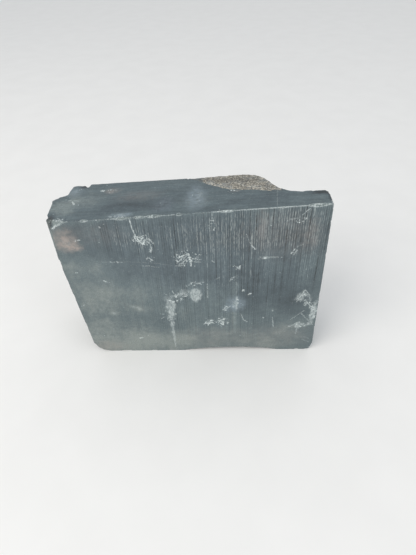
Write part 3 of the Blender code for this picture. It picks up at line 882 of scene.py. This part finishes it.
def arrisShare(tree, place, width):
    # the thin pale line where the saw left the edge crumbling, broken into dots where it is faint
    gap = addNode(tree, "Attribute gap", out="Fac")
    arris = addNode(tree, "Attribute arris", out="Fac")
    line = addNode(tree, "MapRange", (gap, width, 0.1), **smooth)
    dots = patches(tree, place, (1.1, 0.7, 0.7), Roughness=0.75)
    dots = cutOff(tree, dots, arris, -0.34, 0.62, 0.14)
    strength = addNode(tree, "Math MULTIPLY_ADD", (arris, 0.65, 0.25))
    dots = addNode(tree, "Math MULTIPLY", (dots, strength))
    return addNode(tree, "Math MULTIPLY", (line, dots))


def dusted(tree, colour, place, scratches, flat, rim, most):
    # the scratches, scuffs and pale arris laid over a colour, handed back with where they lie
    scratched = scratchShare(tree, place, scratches, flat)
    powder = addNode(tree, "Math MAXIMUM", (powderShare(tree, place), scratched))
    powder = addNode(tree, "Math MAXIMUM", (powder, arrisShare(tree, place, rim)))
    return overlay(tree, colour, slate["powder"], powder, most), powder


def startMaterial(name):
    material = bpy.data.materials.new(name)
    material.use_nodes = True
    return material, material.node_tree, blockPlace(material.node_tree)


def finishSurface(tree, place, colour, dullness, coarse, fine, depth):
    # dullness spreads a share over the roughness; fine grain, of a size and sharpness, lies over any
    # coarse bumps, and they stand up by the depth in mm
    roughness = addNode(tree, "MapRange", dullness)
    size, sharpness = fine
    height = patches(tree, place, size, Roughness=sharpness)
    if coarse:
        height = addNode(tree, "Math MULTIPLY_ADD", (*coarse, height))
    bump = addNode(tree, "Bump", {"Strength": 0.8, "Distance": depth * mm, "Height": height})
    shader = tree.nodes["Principled BSDF"]
    shader.inputs["IOR"].default_value = slate["ior"]
    for name, value in (("Base Color", colour), ("Roughness", roughness), ("Normal", bump)):
        tree.links.new(value, shader.inputs[name])


def sawnWonderstone():
    # wonderstone as the saw left it: dull slate blue-grey with close parallel lines, darker in the
    # grooves and paler on the ridges as painted shade and light, dusty on the ridges, and powdery white
    # wherever something has knocked it
    material, tree, place = startMaterial("sawnWonderstone")
    colour = slateColour(tree, place, 26.0, 3.2, 0.09)
    # the lines follow the grooves of the mesh, with finer ones of about 0.8 mm between them
    groove = addNode(tree, "Attribute groove", out="Fac")
    comb = addNode(tree, "Attribute comb", out="Fac")
    # the ridge term paints shade in the grooves and light on the ridges, following the mesh's relief
    ridge = addNode(tree, "Math SUBTRACT", (0.30, groove))
    fine = patches(tree, place, (0.42, 0.42, 60.0), (0.30, 0.70), (-0.34, 0.34), Detail=2.0)
    grit = patches(tree, place, (0.50, 0.50, 3.4), (0.32, 0.68), (0.30, 1.50), Detail=3.0)
    lines = addNode(tree, "Math ADD", (ridge, fine))
    lines = addNode(tree, "Math MULTIPLY", (lines, grit))
    lines = addNode(tree, "Math MULTIPLY", (lines, comb))
    closeGrain = patches(tree, place, 0.9, (0.3, 0.7), (0.88, 1.12), Detail=3.0)
    light = addNode(tree, "Math MULTIPLY_ADD", (lines, 1.25, closeGrain))
    colour = addNode(tree, "VectorMath SCALE", {0: colour, "Scale": light})
    colour = tinted(tree, colour, place, 4.5)
    dust = addNode(tree, "Math MULTIPLY", (lines, comb))
    dust = addNode(tree, "MapRange", (dust, 0.14, 0.46), **smooth)
    colour = overlay(tree, colour, slate["dust"], dust, 0.32)
    colour, powder = dusted(tree, colour, place, frontScratches, (1.0, 0.0, 1.0), 0.9, 0.88)
    dullness = (powder, 0.0, 1.0, 0.62, 0.9)
    finishSurface(tree, place, colour, dullness, (lines, 0.9), (0.5, 0.65), 0.06)
    return material


def rubbedWonderstone():
    # the top was sawn too, then rubbed smooth by handling: darker, closer, with soft streaks along it
    material, tree, place = startMaterial("rubbedWonderstone")
    colour = slateColour(tree, place, 18.0, 2.6, 0.12)
    streaks = patches(tree, place, (22.0, 1.3, 1.3), (0.25, 0.75), (0.66, 0.90), Detail=4.0)
    wide = patches(tree, place, (50.0, 6.0, 6.0), (0.25, 0.75), (-0.07, 0.07), Detail=2.0)
    closeGrain = patches(tree, place, 0.9, (0.3, 0.7), (-0.09, 0.09), Detail=3.0)
    light = addNode(tree, "Math ADD", (streaks, wide))
    light = addNode(tree, "Math ADD", (light, closeGrain))
    colour = addNode(tree, "VectorMath SCALE", {0: colour, "Scale": light})
    colour = addNode(tree, "VectorMath MULTIPLY", (colour, (0.90, 0.97, 1.02)))
    colour = tinted(tree, colour, place, 3.0)
    colour, powder = dusted(tree, colour, place, topScratches, (1.0, 1.0, 0.0), 0.8, 0.85)
    dullness = (powder, 0.0, 1.0, 0.5, 0.8)
    finishSurface(tree, place, colour, dullness, (streaks, 2.5), (0.6, 0.6), 0.04)
    return material


rind = {
    "base": "#79776f",
    "light": "#bdb8ab",
    "dark": "#4c4a46",
    "grey": "#7a7d7c",
    "film": "#6e6459",
    "skin": "#8d8474",
    "stain": "#655646",
    "belowLedge": (133.0, 122.0),  # mm, the skin sets in between these heights
}
# blotches laid on in turn: colour, strength, size in mm, span in the noise, and the noise's settings
crustBlotches = (
    (rind["skin"], 0.85, 15.0, (0.40, 0.58), {"levels": (0.15, 0.85), "Roughness": 0.7}),
    (rind["stain"], 0.50, (18.0, 18.0, 28.0), (0.50, 0.64), {"Roughness": 0.72}),
    (rind["dark"], 0.55, 3.4, (0.62, 0.70), {"Detail": 5.0, "Roughness": 0.7}),  # pits
)
jointBlotches = (
    (slate["pale"], 0.42, 26.0, (0.44, 0.66), {"Roughness": 0.65}),  # dust
    (rind["film"], 0.42, 13.0, (0.47, 0.58), {"Roughness": 0.72}),
    (rind["dark"], 0.45, 5.0, (0.55, 0.63), {"Roughness": 0.75, "Distortion": 0.6}),
    (rind["light"], 0.30, (6.0, 6.0, 9.0), (0.57, 0.72), {"Roughness": 0.75}),  # chalk
)


def blotched(tree, colour, place, blotches, within=None):
    for code, most, size, span, settings in blotches:
        share = patches(tree, place, size, span, **{"Detail": 6.0, **settings})
        if within is not None:
            share = addNode(tree, "Math MULTIPLY", (share, within))
        colour = overlay(tree, colour, code, share, most)
    return colour


def weatheredBack():
    # the boulder's own skin: gritty tan-grey crust with light and dark grains; left of the seam a
    # natural joint, flatter and greyer, with a thin brown film
    material, tree, place = startMaterial("weatheredBack")
    # grains of about 1 mm, coarser than the real ones so that they show
    shade = crumbShades(tree, place, (1.3, 1.3, 1.0))[0]
    patchy = patches(tree, place, 5.0, (0.2, 0.8))
    greyed = addNode(tree, "MapRange", (patchy, 0.25, 0.75), **smooth)
    crust = overlay(tree, hexColour(rind["base"]), rind["grey"], greyed)
    for name, span in (("light", (0.62, 0.90, 0.0, 0.85)), ("dark", (0.36, 0.10, 0.0, 0.80))):
        crust = overlay(tree, crust, rind[name], addNode(tree, "MapRange", (shade, *span)))
    crust = overlay(tree, crust, rind["light"], patches(tree, place, 0.7, (0.56, 0.70)), 0.5)
    pale = addNode(tree, "Attribute pale", out="Fac")
    shaded = addNode(tree, "MapRange", (pale, -0.8, 0.6, 0.72, 1.36))
    crust = addNode(tree, "VectorMath SCALE", {0: crust, "Scale": shaded})
    # below the ledge a thin tan skin still hides much of the grain, with brown iron stains in it
    upright = addNode(tree, "SeparateXYZ", (place,), out="Z")
    below = addNode(tree, "MapRange", (upright, *rind["belowLedge"]))
    crust = blotched(tree, crust, place, crustBlotches, below)
    joint = blotched(tree, slateColour(tree, place, 14.0, 2.2), place, jointBlotches)
    share = addNode(tree, "Attribute rind", out="Fac")
    share = addNode(tree, "Math MULTIPLY_ADD", (patchy, 0.6, share))
    share = addNode(tree, "MapRange", (share, 0.65, 1.0), **smooth)
    colour = addNode(tree, "Mix", {0: share, 6: joint, 7: crust}, out=2, data_type="RGBA")
    colour = overlay(tree, colour, slate["powder"], arrisShare(tree, place, 0.7))
    dullness = (share, 0.0, 1.0, 0.7, 0.92)
    finishSurface(tree, place, colour, dullness, (shade, 0.5), (0.7, 0.7), 0.14)
    return material


def bruisedWonderstone():
    # chipped corners and edges: fine-grained breaks, paler than the sawn faces and a little green,
    # and nearly white where the chip is fresh
    material, tree, place = startMaterial("bruisedWonderstone")
    colour = slateColour(tree, place, 9.0, 1.6)
    pale = patches(tree, place, 2.4, (0.36, 0.66), (0.0, 0.38), Detail=5.0, Roughness=0.7)
    colour = overlay(tree, colour, slate["bruise"], pale)
    powder = patches(tree, place, 0.9, (0.58, 0.76), (0.0, 0.8), Roughness=0.7)
    arris = addNode(tree, "Attribute arris", out="Fac")
    crumbs = crumbShades(tree, place, (1.2,) * 3)[0]
    fresh = patches(tree, place, 1.4, (0.38, 0.60), (0.0, 0.8), Roughness=0.75)
    fresh = addNode(tree, "Math ADD", (fresh, crumbs))
    fresh = addNode(tree, "MapRange", (fresh, 0.78, 1.30))
    fresh = addNode(tree, "Math MULTIPLY", (arris, fresh))
    gap = addNode(tree, "Attribute gap", out="Fac")
    rim = addNode(tree, "MapRange", (gap, 1.3, 0.3, 0.06, 1.0))
    fresh = addNode(tree, "Math MULTIPLY", (fresh, rim))
    powder = addNode(tree, "Math MAXIMUM", (powder, fresh))
    colour = overlay(tree, colour, slate["powder"], powder, 0.8)
    finishSurface(tree, place, colour, (pale, 0.0, 0.6, 0.7, 0.88), (), (0.6, 0.7), 0.10)
    return material


studio = {
    "floorSize": 24.0,  # m
    "floor": ("#ebebea", "#eeeeed"),
    "floorRoughness": 0.9,
    "floorSpecular": 0.2,
    "sky": ("#f6f8fa", 0.80),
    "lamps": {  # place and size in m, power in W, colour
        "keySoftbox": ((-0.75, -0.70, 1.05), 0.9, 9.0, "#fffaf2"),
        "fillSoftbox": ((1.1, -0.9, 0.75), 1.2, 3.0, "#f2f7ff"),
    },
}


def paleFloor():
    # matt painted studio floor, with the faintest unevenness of its roller coat
    material, tree, place = startMaterial("paleFloor")
    base, coat = studio["floor"]
    colour = overlay(tree, hexColour(base), coat, patches(tree, place, 45.0, (0.2, 0.8), Detail=3.0))
    shader = tree.nodes["Principled BSDF"]
    tree.links.new(colour, shader.inputs["Base Color"])
    shader.inputs["Roughness"].default_value = studio["floorRoughness"]
    shader.inputs["Specular IOR Level"].default_value = studio["floorSpecular"]
    return material


def buildStudio():
    mesh = bpy.data.meshes.new("studioFloor")
    half = studio["floorSize"] / 2
    corners = [(-half, -half, 0), (half, -half, 0), (half, half, 0), (-half, half, 0)]
    mesh.from_pydata(corners, [], [(0, 1, 2, 3)])
    mesh.materials.append(paleFloor())
    floor = addObject("studioFloor", mesh)
    for name, (place, size, power, colour) in studio["lamps"].items():
        lamp = bpy.data.lights.new(name, "AREA")
        lamp.size = size
        lamp.energy = power
        lamp.color = hexColour(colour)[:3]
        holder = addObject(name, lamp)
        holder.location = place
        holder.rotation_euler = (-Vector(place)).to_track_quat("-Z", "Y").to_euler()
    world = bpy.data.worlds.new("softSky")
    world.use_nodes = True
    background = world.node_tree.nodes["Background"]
    background.inputs["Color"].default_value = hexColour(studio["sky"][0])
    background.inputs["Strength"].default_value = studio["sky"][1]
    bpy.context.scene.world = world
    bpy.context.scene.view_settings.view_transform = "Standard"


placeCamera(camera)
stone = readStone()
sortFaces(stone)
cutCells(stone)
block = makePiece(stone)
print("stone cut into", len(block.data.polygons), "cells")

worn = wearCorners(block.data)
markCreases(block.data)
regionOf = reliefAndLooks(block.data, worn)
print("relief and looks set on", len(block.data.vertices), "points")

sawn = sawnWonderstone()
looksOf = {  # in the order of the regions
    "front": sawn,
    "top": rubbedWonderstone(),
    "left": sawn,
    "right": sawn,
    "under": sawn,
    "back": weatheredBack(),
    "broken": bruisedWonderstone(),
}
finishes = list(dict.fromkeys(looksOf.values()))
for material in finishes:
    block.data.materials.append(material)
slots = np.array([finishes.index(finish) for finish in looksOf.values()], np.int32)
block.data.polygons.foreach_set("material_index", slots[regionOf])
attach(block, "root")
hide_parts(blockNode)
print("finishes:", ", ".join(material.name for material in finishes))

buildStudio()
print("studio built")
